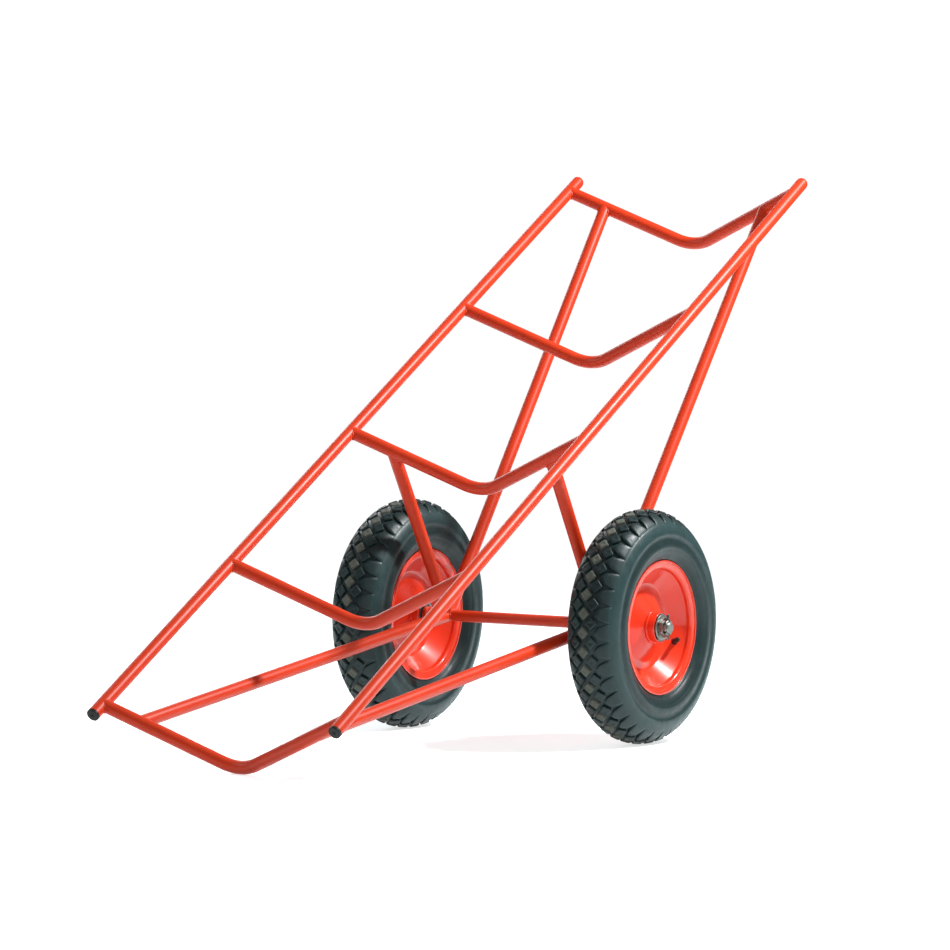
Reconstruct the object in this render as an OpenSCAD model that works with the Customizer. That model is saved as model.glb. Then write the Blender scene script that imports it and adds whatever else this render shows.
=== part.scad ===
// Two-wheel beam trolley. A sloping ladder of welded round tube has five V saddles that
// cradle the load, and rests on a braced axle with two pneumatic barrow wheels.
// X runs across, +Y from the low end to the raised end, Z up. The ground is Z = 0, and the
// origin is the middle of the footprint. Each left part is the mirror of its right part.

/* [Deck] */
// Length of a rail over its plug and its domed end
deck_length = 1720; // [1700:10:1760]
// Spacing of the two rails, centre to centre
rail_spacing = 466; // [450:2:480]
// Outside diameter of every frame tube
tube_d = 22; // [21:0.5:23]
// Wall of every frame tube
tube_wall = 2; // [1.5:0.5:3]

/* [Saddles] */
// Distance of the first saddle from the low end
first_saddle = 32; // [28:2:44]
// Distance from one saddle to the next
saddle_pitch = 411; // [400:1:412]
// Depth at which the two arms of the V would meet
saddle_depth = 114; // [100:2:124]
// Bend radius of the V, on the tube's centre line
saddle_bend_r = 75; // [60:5:90]

/* [Undercarriage] */
// Place of the axle along the deck, from the low end
axle_station = 858; // [850:1:866]
// Distance of the axle below the rails, square to the deck
axle_drop = 376; // [360:2:392]
// Diameter of the axle bar
axle_d = 20; // [20:1:20]
// Distance of each strut from the middle, at the axle
strut_foot_x = 156; // [146:2:160]
// Distance of each strut from the middle, on the first, third and fifth saddle
strut_head_x = [170, 158, 166]; // [154:2:174]

/* [Wheels] */
// Distance of each wheel's middle from the trolley's middle
wheel_x = 237.5; // [234:0.5:242]
// Diameter of the tyre
tyre_d = 400; // [392:2:408]
// Width of the tyre
tyre_w = 100; // [96:1:102]
// Radius of the seat that the tyre's beads sit on
bead_seat_r = 101.5; // [101.5:0.5:101.5]
// Thickness of the pressed rim steel
rim_sheet = 2; // [1.6:0.2:2.4]
// Height of the cone in the middle of a rim half
cone_rise = 19; // [12:1:21]
// Radius at which that cone meets the flat part of the rim half
cone_foot_r = 60; // [56:1:62]
// Angle of the valve below the horizontal, towards the raised end
valve_angle = 20; // [0:5:60]

/* [Hubs] */
// Length of a hub tube
hub_length = 73; // [73:1:74]
// Outside diameter of a hub tube
hub_d = 52; // [51:1:56]
// Outside diameter of a wheel bearing
bearing_d = 47; // [47:1:47]
// Width of a wheel bearing
bearing_w = 14; // [14:1:14]
// Number of balls in a wheel bearing
ball_count = 8; // [6:1:9]
// Outside diameter of the washer under each nut
washer_d = 44; // [36:1:45]
// Width across the flats of each castle nut
nut_flats = 30; // [27:1:32]
// Height of each castle nut
nut_h = 13; // [12:1:16]

/* [Hidden] */
$fn = 64;

tube_r = tube_d / 2;
bore_r = tube_r - tube_wall;
rail_x = rail_spacing / 2;
axle_r = axle_d / 2;
wheel_r = tyre_d / 2;
hub_r = hub_d / 2;
slip = 0.05;                              // radial room of a part that slides onto the axle
over = 1;                                 // how far a cutter runs past what it cuts
weld_gap = 0.25;                          // root gap that a welded tube's end leaves to its neighbour

// The V of a saddle, in its own plane: height 0 is the rails' centre plane
arm_angle = atan(saddle_depth / rail_x);
bend_centre_z = saddle_bend_r / cos(arm_angle) - saddle_depth;
bend_swell = 0.04;                        // how much thicker the wall's faces stand in the bend
saddle_drop = saddle_bend_r - bend_centre_z;

// The deck's slope, at which the tyres and the first saddle touch the ground together
to_axle = [axle_station - first_saddle, axle_drop - saddle_drop];
deck_tilt = atan2(to_axle.y, to_axle.x) + asin((wheel_r - tube_r - bend_swell) / norm(to_axle));

// Height and place of the deck's low end, with the footprint's middle at Y = 0
plug_head = 5;
plug_edge = 2;
foot_z = wheel_r - axle_station * sin(deck_tilt) + axle_drop * cos(deck_tilt);
low_reach = plug_edge * cos(deck_tilt) - (tube_r - plug_edge) * sin(deck_tilt) - plug_edge;
dome_reach = (deck_length - tube_r) * cos(deck_tilt) + tube_r;
bend_reach = station(5) * cos(deck_tilt) + saddle_drop * sin(deck_tilt) + tube_r + bend_swell;
high_reach = max(dome_reach, bend_reach);
foot_y = -(low_reach + high_reach) / 2;
axle_y = foot_y + axle_station * cos(deck_tilt) + axle_drop * sin(deck_tilt);

// Along the axle, from the middle of a wheel outwards
race_centre = hub_length / 2 - 0.5 - bearing_w / 2;
race_face = race_centre + bearing_w / 2;
washer_t = 3;
nut_seat = race_face + washer_t;
nut_slot = 5.5;
pin_place = nut_seat + nut_h - nut_slot / 2;
axle_reach = nut_seat + nut_h + 3;
collar_w = 8;
collar_r = 14;
pin_r = 1.9;

// Section of a bearing
ball_r = 4;
pitch_r = (axle_r + bearing_d / 2) / 2;
inner_race_r = pitch_r - 2.15;
outer_race_r = pitch_r + 2.25;
race_room = 0.5;                          // how much narrower the outer race is, each side

// Sheet line of a rim half, as [radius, distance from the wheel's middle plane]. It starts
// inside the hub's wall, in line with the cone, and is cut off at the hub.
disc_x = rim_sheet / 2;
cone_slope = cone_rise / (cone_foot_r - hub_r);
cone_lead = 2;
seat_r = bead_seat_r - rim_sheet / 2;
wall_run = 26.5;                          // of the sloping wall, inwards and across alike
seat_end = 35;
flange_r = 113.3;
flange_lean = 0.6;
lip_end = 38.5;
rim_line = [
    [hub_r - cone_lead, disc_x + cone_rise + cone_lead * cone_slope],
    [cone_foot_r, disc_x],
    [seat_r - wall_run, disc_x],
    [seat_r, disc_x + wall_run],
    [seat_r, seat_end],
    [flange_r, seat_end + flange_lean],
    [flange_r, lip_end]
];
rim_bends = [12, 8, 5, 5, 2.5];

// The valve, on the sloping wall of the outer rim half: radius and place across the wheel
valve_seat = (rim_line[2] + rim_line[3]) / 2;
valve_r = 5.8;
nipple_r = 3.9;
stem_h = 14;                              // of the stem's taper above the rim

// Section of the tyre
section_r = tyre_w / 2;
section_centre = wheel_r - section_r;
crown_r = section_r + 6;
tread_w = 80;
cavity_r = section_r - 7;
cavity_centre = section_centre - 2;
tube_clearance = 1;                       // between the tyre and the inner tube
bead_inside = 25;
bead_outside = 34.5;

RED = "orangered";
STEEL = "silver";
BLACK = "dimgray";

// ---- Outlines ----

function unit(v) = v / norm(v);
function left_of(v) = [-v.y, v.x];
function backwards(p) = [for (i = [len(p) - 1:-1:0]) p[i]];
function turn(p, i) = sign(cross(p[i] - p[i - 1], p[i + 1] - p[i]));

// The line p moved sideways by d, to the left of its run
function moved_point(p, i, d) =
    let (
        first = max(i, 1),
        last = min(i, len(p) - 2),
        n = left_of(unit(p[first] - p[first - 1])),
        m = left_of(unit(p[last + 1] - p[last]))
    )
    p[i] + d * (n + m) / (1 + n * m);
function moved_line(p, d) = [for (i = [0:len(p) - 1]) moved_point(p, i, d)];

// The corner of a-b-c as an arc of radius r
function corner(a, b, c, r, steps = 4) =
    let (
        u = unit(a - b),
        v = unit(c - b),
        half = acos(u * v) / 2,
        centre = b + unit(u + v) * r / sin(half),
        start = b + u * r / tan(half) - centre,
        sweep = sign(cross(b - a, c - b)) * (180 - 2 * half),
        from = atan2(start.y, start.x)
    )
    [for (i = [0:steps]) centre + r * [cos(from + sweep * i / steps), sin(from + sweep * i / steps)]];

function rounded(p, radii) = concat(
    [p[0]],
    [for (i = [1:len(p) - 2]) each corner(p[i - 1], p[i], p[i + 1], radii[i - 1])],
    [p[len(p) - 1]]
);

// One face of a bent sheet whose middle follows p, and the whole section of the sheet
function sheet_face(p, radii, d) =
    rounded(moved_line(p, d), [for (i = [1:len(p) - 2]) radii[i - 1] - d * turn(p, i)]);
function sheet(p, radii, t) =
    concat(sheet_face(p, radii, t / 2), backwards(sheet_face(p, radii, -t / 2)));

// ---- Placing ----

// Draws the right-hand part, or its mirror image on the left
module on_side(side) {
    mirror([side == "left" ? 1 : 0, 0, 0])
        children();
}

// The deck's own axes: Y along the rails from the low end, Z square out of the deck
module on_deck() {
    translate([0, foot_y, foot_z])
        rotate([deck_tilt, 0, 0])
            children();
}

// The right wheel's own axes: X along the axle and outwards
module on_wheel() {
    translate([wheel_x, axle_y, wheel_r])
        children();
}

// A body turned about the axle, from a section in [radius, distance along X]
module turned() {
    rotate([0, 90, 0])
        rotate_extrude()
            children();
}

module along(a, b) {
    v = b - a;
    translate(a)
        rotate([0, acos(v.z / norm(v)), atan2(v.y, v.x)])
            children();
}

module rod(a, b, r) {
    along(a, b)
        cylinder(r = r, h = norm(b - a));
}

module tube_section(swell = 0) {
    difference() {
        circle(r = tube_r + swell);
        circle(r = bore_r - swell);
    }
}

module pipe(a, b) {
    along(a, b)
        linear_extrude(norm(b - a))
            tube_section();
}

module at_both_bearings() {
    for (x = [-race_centre, race_centre])
        translate([x, 0, 0])
            children();
}

module around_bearing() {
    for (i = [0:ball_count - 1])
        rotate([360 * i / ball_count, 0, 0])
            translate([0, pitch_r, 0])
                children();
}

// ---- Frame ----

function station(n) = first_saddle + (n - 1) * saddle_pitch;
function arm_foot(n) =
    [saddle_bend_r * sin(arm_angle), station(n), bend_centre_z - saddle_bend_r * cos(arm_angle)];
function arm_head(n) = [rail_x, station(n), 0];
function strut_head(k) =
    [strut_head_x[k], station(2 * k + 1), -(rail_x - strut_head_x[k]) * tan(arm_angle)];
strut_foot = [strut_foot_x, axle_station, -axle_drop];

module rail() {
    color(RED)
        on_deck()
            pipe([rail_x, plug_head, 0], [rail_x, deck_length - tube_r, 0]);
}

// One straight arm of a saddle, with its end cut to fit the rail
module saddle_arm(n) {
    difference() {
        pipe(arm_foot(n), arm_head(n));
        rod(arm_head(n) - [0, tube_d, 0], arm_head(n) + [0, tube_d, 0], tube_r + weld_gap);
    }
}

// A bent tube across the deck. The bend is a hair thicker than the arms.
module saddle(n) {
    color(RED)
        on_deck() {
            saddle_arm(n);
            mirror([1, 0, 0])
                saddle_arm(n);
            translate([0, station(n), bend_centre_z])
                rotate([90, 0, 0])
                    rotate([0, 0, -90 - arm_angle])
                        rotate_extrude(angle = 2 * arm_angle)
                            translate([saddle_bend_r, 0])
                                tube_section(bend_swell);
        }
}

// A brace from a saddle to the axle. k is 0 at the low end, 1 in the middle, 2 at the top.
module strut(k) {
    below_axle = strut_foot + unit(strut_foot - strut_head(1)) * tube_d;
    color(RED)
        on_deck()
            difference() {
                pipe(strut_head(k), strut_foot);
                rod(arm_foot(2 * k + 1), arm_head(2 * k + 1), tube_r + weld_gap);
                rod(strut_foot - [tube_d, 0, 0], strut_foot + [tube_d, 0, 0], axle_r + weld_gap);
                if (k != 1)
                    rod(strut_head(1), below_axle, tube_r + weld_gap);
            }
}

// A plastic plug in the low end of a rail, with a rounded head and a hollow spigot
module foot_plug() {
    spigot = 15;
    spigot_wall = 1.6;
    head = corner([0, 0], [tube_r, 0], [tube_r, plug_head], plug_edge);
    color(BLACK)
        on_deck()
            translate([rail_x, 0, 0])
                rotate([-90, 0, 0])
                    rotate_extrude()
                        polygon(concat([[0, 0]], head, [
                            [tube_r, plug_head],
                            [bore_r, plug_head],
                            [bore_r, plug_head + spigot],
                            [bore_r - spigot_wall, plug_head + spigot],
                            [bore_r - spigot_wall, plug_head],
                            [0, plug_head]
                        ]));
}

// A domed end welded on the top of a rail
module top_dome() {
    color(RED)
        on_deck()
            translate([rail_x, deck_length - tube_r, 0])
                rotate([-90, 0, 0])
                    rotate_extrude()
                        intersection() {
                            tube_section();
                            square(tube_r);
                        }
}

// ---- Axle ----

// The round bar, with a chamfer and a cross hole for the split pin at each end
module axle() {
    end_x = wheel_x + axle_reach;
    chamfer = 1.5;
    color(RED)
        translate([0, axle_y, wheel_r])
            difference() {
                turned()
                    polygon([
                        [0, -end_x],
                        [axle_r - chamfer, -end_x],
                        [axle_r, chamfer - end_x],
                        [axle_r, end_x - chamfer],
                        [axle_r - chamfer, end_x],
                        [0, end_x]
                    ]);
                for (x = [-1, 1])
                    translate([x * (wheel_x + pin_place), 0, -axle_d])
                        cylinder(r = pin_r + slip, h = 2 * axle_d);
            }
}

// The welded stop that the inboard bearing sits against
module axle_collar() {
    color(RED)
        on_wheel()
            turned()
                translate([axle_r, -race_face - collar_w])
                    square([collar_r - axle_r, collar_w]);
}

module washer() {
    bore = axle_r + 0.5;
    color(STEEL)
        on_wheel()
            turned()
                translate([bore, race_face])
                    square([washer_d / 2 - bore, washer_t]);
}

// A hexagon nut with six slots across its outer end
module castle_nut() {
    corner_r = nut_flats / 2 / cos(30);
    bevel = 1.4;
    slot_w = 4.5;
    color(STEEL)
        on_wheel()
            translate([nut_seat, 0, 0])
                difference() {
                    intersection() {
                        rotate([0, 90, 0])
                            rotate([0, 0, 30])
                                cylinder(r = corner_r, h = nut_h, $fn = 6);
                        turned()
                            polygon([
                                [0, 0],
                                [corner_r - bevel, 0],
                                [corner_r, bevel],
                                [corner_r, nut_h - bevel],
                                [corner_r - bevel, nut_h],
                                [0, nut_h]
                            ]);
                    }
                    translate([-over, 0, 0])
                        rotate([0, 90, 0])
                            cylinder(r = axle_r + slip, h = nut_h + 2 * over);
                    for (a = [0:60:120])
                        rotate([a, 0, 0])
                            translate([nut_h - nut_slot, -slot_w / 2, -nut_flats])
                                cube([nut_slot + over, slot_w, 2 * nut_flats]);
                }
}

// A split pin through the nut's slots and the axle, with an eye above and two bent legs below
module split_pin() {
    shank_top = nut_flats / 2 + 1.5;
    eye_r = 2.6;
    leg_r = 1.2;
    leg_spread = 7;
    leg_drop = 3;
    color(STEEL)
        on_wheel()
            translate([pin_place, 0, 0]) {
                translate([0, 0, -shank_top])
                    cylinder(r = pin_r, h = 2 * shank_top);
                translate([0, 0, shank_top + eye_r])
                    rotate([0, 90, 0])
                        rotate_extrude()
                            translate([eye_r, 0])
                                circle(r = leg_r);
                for (y = [-leg_spread, leg_spread])
                    rod([0, 0, over - shank_top], [0, y, -shank_top - leg_drop], leg_r);
            }
}

// ---- Bearings ----

module race_groove() {
    translate([pitch_r, 0])
        circle(r = ball_r + slip);
}

module inner_races() {
    color(STEEL)
        on_wheel()
            at_both_bearings()
                turned()
                    difference() {
                        translate([axle_r + slip, -bearing_w / 2])
                            square([inner_race_r - axle_r - slip, bearing_w]);
                        race_groove();
                    }
}

module outer_races() {
    color(STEEL)
        on_wheel()
            at_both_bearings()
                turned()
                    difference() {
                        translate([outer_race_r, race_room - bearing_w / 2])
                            square([bearing_d / 2 - outer_race_r, bearing_w - 2 * race_room]);
                        race_groove();
                    }
}

module bearing_balls() {
    color("gainsboro")
        on_wheel()
            at_both_bearings()
                around_bearing()
                    sphere(r = ball_r);
}

// The ring that keeps the balls apart
module bearing_cages() {
    cage_t = 1.5;
    cage_w = 9.2;
    color("tan")
        on_wheel()
            at_both_bearings()
                difference() {
                    turned()
                        translate([pitch_r - cage_t / 2, -cage_w / 2])
                            square([cage_t, cage_w]);
                    around_bearing()
                        rotate([90, 0, 0])
                            cylinder(r = ball_r + slip, h = 2 * cage_t, center = true);
                }
}

module bearing_seals() {
    seal_t = 1;
    seal_gap = 0.1;
    color(BLACK)
        on_wheel()
            at_both_bearings()
                turned()
                    for (m = [0, 1])
                        mirror([0, m])
                            translate([inner_race_r + seal_gap, bearing_w / 2 - race_room - seal_t])
                                square([outer_race_r - inner_race_r - seal_gap, seal_t]);
}

// The sleeve that holds the two inner races apart
module distance_tube() {
    sleeve_r = 13.5;
    reach = race_centre - bearing_w / 2;
    color(STEEL)
        on_wheel()
            turned()
                translate([axle_r + slip, -reach])
                    square([sleeve_r - axle_r - slip, 2 * reach]);
}

// ---- Wheel ----

module hub() {
    waist_r = 20;
    pocket = hub_length / 2 - race_centre + bearing_w / 2;
    color(RED)
        on_wheel()
            turned()
                difference() {
                    translate([waist_r, -hub_length / 2])
                        square([hub_r - waist_r, hub_length]);
                    for (m = [0, 1])
                        mirror([0, m])
                            translate([0, hub_length / 2 - pocket])
                                square([bearing_d / 2, pocket + over]);
                }
}

// Turns a part in the X-Y plane to where the valve is
module at_valve() {
    rotate([-valve_angle, 0, 0])
        along([valve_seat.y, valve_seat.x, 0], [valve_seat.y + 1, valve_seat.x - 1, 0])
            children();
}

// Section of a rim half, cut off at the hub that it is welded to
module rim_section() {
    difference() {
        polygon(sheet(rim_line, rim_bends, rim_sheet));
        square([hub_r, tyre_w]);
    }
}

module outer_rim_half() {
    hole_r = valve_r + 0.3;
    color(RED)
        on_wheel()
            difference() {
                turned()
                    rim_section();
                at_valve()
                    translate([0, 0, -hole_r])
                        cylinder(r = hole_r, h = 2 * hole_r);
            }
}

module inner_rim_half() {
    color(RED)
        on_wheel()
            mirror([1, 0, 0])
                turned()
                    rim_section();
}

// All that lies on the hub's side of a rim half, which the tyre's bead fits against
module rim_side() {
    outside = tyre_w;
    face = sheet_face(rim_line, rim_bends, -rim_sheet / 2);
    lip = face[len(face) - 1];
    polygon(concat(face, [[lip.x, outside], [0, outside], [0, 0]]));
}

module tyre() {
    neck_top = 122;
    color(BLACK)
        on_wheel()
            turned()
                difference() {
                    union() {
                        translate([section_centre, 0])
                            circle(r = section_r);
                        intersection() {
                            translate([wheel_r - crown_r, 0])
                                circle(r = crown_r);
                            translate([section_centre, -tread_w / 2])
                                square([section_r, tread_w]);
                        }
                        translate([0, -bead_outside])
                            square([neck_top, 2 * bead_outside]);
                    }
                    translate([cavity_centre, 0])
                        circle(r = cavity_r);
                    translate([0, -bead_inside])
                        square([neck_top, 2 * bead_inside]);
                    for (m = [0, 1])
                        mirror([0, m])
                            rim_side();
                }
}

// The air-filled ring inside the tyre
module inner_tube() {
    tube_skin = 2;
    color(BLACK)
        on_wheel()
            turned()
                translate([cavity_centre, 0])
                    difference() {
                        circle(r = cavity_r - tube_clearance);
                        circle(r = cavity_r - tube_clearance - tube_skin);
                    }
}

// The rubber stem from the inner tube out through the rim
module valve_stem() {
    inside = 40;
    straight = 2;
    neck_r = 4.6;
    nipple_h = 8;
    color(BLACK)
        on_wheel()
            difference() {
                at_valve() {
                    translate([0, 0, -inside])
                        cylinder(r = valve_r, h = inside + straight);
                    translate([0, 0, straight])
                        cylinder(r1 = valve_r, r2 = neck_r, h = stem_h - straight);
                    translate([0, 0, stem_h])
                        cylinder(r = nipple_r, h = nipple_h);
                }
                turned()
                    translate([cavity_centre, 0])
                        circle(r = cavity_r - tube_clearance);
            }
}

module valve_cap() {
    cap_r = 4.8;
    cap_h = 11;
    cap_gap = 0.5;
    cap_edge = 1.5;
    hollow = 7.5;
    color(BLACK)
        on_wheel()
            at_valve()
                translate([0, 0, stem_h + cap_gap])
                    rotate_extrude()
                        polygon(concat(
                            [[nipple_r, 0], [cap_r, 0]],
                            corner([cap_r, 0], [cap_r, cap_h], [0, cap_h], cap_edge),
                            [[0, cap_h], [0, hollow], [nipple_r, hollow]]
                        ));
}

on_side("right") rail();  // right_rail
on_side("left") rail();  // left_rail
saddle(1);  // saddle_1
saddle(2);  // saddle_2
saddle(3);  // saddle_3
saddle(4);  // saddle_4
saddle(5);  // saddle_5
on_side("right") strut(0);  // right_front_strut
on_side("right") strut(1);  // right_middle_strut
on_side("right") strut(2);  // right_rear_strut
on_side("left") strut(0);  // left_front_strut
on_side("left") strut(1);  // left_middle_strut
on_side("left") strut(2);  // left_rear_strut
on_side("right") foot_plug();  // right_foot_plug
on_side("left") foot_plug();  // left_foot_plug
on_side("right") top_dome();  // right_top_dome
on_side("left") top_dome();  // left_top_dome
axle();
on_side("right") axle_collar();  // right_axle_collar
on_side("left") axle_collar();  // left_axle_collar
on_side("right") washer();  // right_washer
on_side("left") washer();  // left_washer
on_side("right") castle_nut();  // right_castle_nut
on_side("left") castle_nut();  // left_castle_nut
on_side("right") split_pin();  // right_split_pin
on_side("left") split_pin();  // left_split_pin
on_side("right") inner_races();  // right_inner_races
on_side("left") inner_races();  // left_inner_races
on_side("right") distance_tube();  // right_distance_tube
on_side("left") distance_tube();  // left_distance_tube
on_side("right") tyre();  // right_tyre
on_side("left") tyre();  // left_tyre
on_side("right") inner_tube();  // right_inner_tube
on_side("left") inner_tube();  // left_inner_tube
on_side("right") outer_rim_half();  // right_outer_rim_half
on_side("left") outer_rim_half();  // left_outer_rim_half
on_side("right") inner_rim_half();  // right_inner_rim_half
on_side("left") inner_rim_half();  // left_inner_rim_half
on_side("right") hub();  // right_hub
on_side("left") hub();  // left_hub
on_side("right") outer_races();  // right_outer_races
on_side("left") outer_races();  // left_outer_races
on_side("right") bearing_balls();  // right_bearing_balls
on_side("left") bearing_balls();  // left_bearing_balls
on_side("right") bearing_cages();  // right_bearing_cages
on_side("left") bearing_cages();  // left_bearing_cages
on_side("right") bearing_seals();  // right_bearing_seals
on_side("left") bearing_seals();  // left_bearing_seals
on_side("right") valve_stem();  // right_valve_stem
on_side("left") valve_stem();  // left_valve_stem
on_side("right") valve_cap();  // right_valve_cap
on_side("left") valve_cap();  // left_valve_cap
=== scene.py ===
"""Looks of the beam trolley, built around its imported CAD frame. Metres throughout.

X runs across the trolley, +Y towards its raised end, Z up. A wheel is drawn about the origin
with its axle along X and its outboard side towards +X, then moved to its place.
"""

from collections import namedtuple
from math import atan, atan2, ceil, cos, pi, radians, sin, sqrt, tan

import bmesh
import bpy
from mathutils import Matrix, Vector


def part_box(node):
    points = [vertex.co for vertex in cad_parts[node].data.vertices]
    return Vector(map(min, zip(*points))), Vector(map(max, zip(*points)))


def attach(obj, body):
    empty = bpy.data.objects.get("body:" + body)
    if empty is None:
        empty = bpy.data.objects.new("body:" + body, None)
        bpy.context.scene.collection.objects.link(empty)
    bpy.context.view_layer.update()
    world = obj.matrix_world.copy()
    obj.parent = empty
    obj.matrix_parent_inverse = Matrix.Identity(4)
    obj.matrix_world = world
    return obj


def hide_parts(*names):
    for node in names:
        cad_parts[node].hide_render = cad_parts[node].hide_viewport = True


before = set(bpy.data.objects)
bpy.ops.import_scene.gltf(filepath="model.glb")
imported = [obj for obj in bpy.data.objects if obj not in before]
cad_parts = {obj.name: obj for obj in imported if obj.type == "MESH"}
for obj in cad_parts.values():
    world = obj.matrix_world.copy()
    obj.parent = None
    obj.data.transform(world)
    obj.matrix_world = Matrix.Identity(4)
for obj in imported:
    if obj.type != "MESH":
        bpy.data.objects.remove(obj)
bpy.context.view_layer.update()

MM = 0.001
SIDES = {"right": 1, "left": -1}
X_AXIS = Vector((1, 0, 0))
CAP_HOLE = 0.2 * MM  # radius at which a turned part's outline stops short of its axis

# ---- Sizes taken from the frame ----


def middle(node):
    low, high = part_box(node)
    return (low + high) / 2


def extent(node):
    low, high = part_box(node)
    return high - low


wheel_centre = middle("right_tyre")
wheel_r = extent("right_tyre").z / 2
tube_r = extent("right_rail").x / 2
rail_x = middle("right_rail").x
along_deck = (middle("saddle_5") - middle("saddle_1")).normalized()
out_of_deck = X_AXIS.cross(along_deck)
hub_r = extent("right_hub").z / 2
hub_end = extent("right_hub").x / 2
axle_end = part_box("axle")[1].x
rail_middle = Vector((0, middle("right_rail").y, middle("right_rail").z))


def deck_range(node, axis):
    """Lowest and highest reach of a CAD node along one of the deck's axes."""
    reach = [(v.co - rail_middle).dot(axis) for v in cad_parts[node].data.vertices]
    return min(reach), max(reach)


def station(node):
    low, high = deck_range(node, along_deck)
    return (low + high) / 2


def deck_point(x, s, u):
    """A point from its distance across, along and out of the deck."""
    return rail_middle + Vector((x, 0, 0)) + along_deck * s + out_of_deck * u


# ---- Driving sizes that the frame doesn't give directly ----

saddle_depth = 114 * MM
saddle_bend_r = 75 * MM
strut_head_x = {"front": 170 * MM, "middle": 158 * MM, "rear": 166 * MM}
strut_saddle = {"front": "saddle_1", "middle": "saddle_3", "rear": "saddle_5"}
strut_foot_x = 156 * MM
axle_r = 10 * MM

arm_angle = atan(saddle_depth / rail_x)
bend_centre_u = saddle_bend_r / cos(arm_angle) - saddle_depth

# Middle of the rim's sheet, as (radius, distance from the wheel's middle plane)
rim_sheet = 2 * MM
half_sheet = rim_sheet / 2
seat_r = 100.5 * MM
flange_r = 113.3 * MM
disc_r = 74 * MM
cone_r = 60 * MM
cone_rise = 19 * MM
cone_slope = cone_rise / (cone_r - hub_r)
cone_top = half_sheet + cone_rise
rim_line = [
    (hub_r - half_sheet, cone_top + half_sheet * cone_slope),
    (cone_r, half_sheet),
    (disc_r, half_sheet),
    (seat_r, 27.5 * MM),
    (seat_r, 35 * MM),
    (flange_r, 35.6 * MM),
    (flange_r, 38.5 * MM),
]
rim_bends = [12 * MM, 8 * MM, 5 * MM, 5 * MM, 2.5 * MM]
valve_angle = radians(20)
valve_place = Vector((14.25 * MM, 87.25 * MM, 0))

# Along the axle, from the wheel's middle outwards
race_face = 36 * MM
washer_t = 3 * MM
nut_seat = race_face + washer_t
nut_h = 13 * MM
nut_flats = 30 * MM
nut_slot = 5.5 * MM
pin_place = nut_seat + nut_h - nut_slot / 2

# Tread: a crown of this radius across the tyre, and 38 pitches round it
section_r = 50 * MM
crown_r = 56 * MM
tread_depth = 5.5 * MM
top_sink = 0.15 * MM
pitches = 38
pitch = 2 * pi * wheel_r / pitches

# ---- Materials ----


class Shader:
    """Short calls for building a node material."""

    def __init__(self, name):
        self.material = bpy.data.materials.new(name)
        self.material.use_nodes = True
        self.tree = self.material.node_tree
        self.surface = self.tree.nodes["Principled BSDF"]

    def node(self, kind, **values):
        made = self.tree.nodes.new(kind)
        for key, value in values.items():
            if key in made.inputs:
                made.inputs[key].default_value = value
            else:
                setattr(made, key, value)
        return made

    def link(self, source, target):
        self.tree.links.new(source, target)

    def place(self):
        return self.node("ShaderNodeTexCoord").outputs["Object"]

    def noise(self, scale, detail=3.0, roughness=0.55):
        made = self.node("ShaderNodeTexNoise", Scale=scale, Detail=detail, Roughness=roughness)
        self.link(self.place(), made.inputs["Vector"])
        return made.outputs["Fac"]

    def ramp(self, factor, *stops):
        made = self.node("ShaderNodeValToRGB")
        bar = made.color_ramp.elements
        while len(bar) < len(stops):
            bar.new(0.5)
        for element, (at, colour) in zip(bar, stops):
            element.position = at
            element.color = (*colour, 1)
        self.link(factor, made.inputs["Fac"])
        return made.outputs["Color"]

    def spread(self, factor, low, high, start=0.3, end=0.7):
        made = self.node("ShaderNodeMapRange")
        for name, value in (("From Min", start), ("From Max", end), ("To Min", low), ("To Max", high)):
            made.inputs[name].default_value = value
        self.link(factor, made.inputs["Value"])
        return made.outputs["Result"]

    def mix(self, factor, first, second):
        made = self.node("ShaderNodeMix", data_type="RGBA")
        self.link(factor, made.inputs["Factor"])
        for socket, value in ((made.inputs[6], first), (made.inputs[7], second)):
            if isinstance(value, tuple):
                socket.default_value = (*value, 1)
            else:
                self.link(value, socket)
        return made.outputs[2]

    def maths(self, operation, *values):
        made = self.node("ShaderNodeMath", operation=operation)
        for socket, value in zip(made.inputs, values):
            if isinstance(value, (int, float)):
                socket.default_value = value
            else:
                self.link(value, socket)
        return made.outputs["Value"]

    def band(self, start, full, fading, end):
        """1 between two distances from the wheels' axle and 0 outside, with soft edges."""
        parts = self.node("ShaderNodeSeparateXYZ")
        self.link(self.place(), parts.inputs["Vector"])
        y = self.maths("SUBTRACT", parts.outputs["Y"], wheel_centre.y)
        z = self.maths("SUBTRACT", parts.outputs["Z"], wheel_centre.z)
        square = self.maths("ADD", self.maths("MULTIPLY", y, y), self.maths("MULTIPLY", z, z))
        radius = self.maths("SQRT", square)
        rise = self.spread(radius, 0, 1, start, full)
        return self.maths("MULTIPLY", rise, self.spread(radius, 1, 0, fading, end))

    def bump(self, *layers):
        """Each layer is (height, strength, distance); they add up."""
        normal = None
        for height, strength, distance in layers:
            made = self.node("ShaderNodeBump", Strength=strength, Distance=distance)
            self.link(height, made.inputs["Height"])
            if normal is not None:
                self.link(normal, made.inputs["Normal"])
            normal = made.outputs["Normal"]
        self.link(normal, self.surface.inputs["Normal"])

    def set(self, **values):
        for key, value in values.items():
            self.surface.inputs[key.replace("_", " ")].default_value = value


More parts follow.
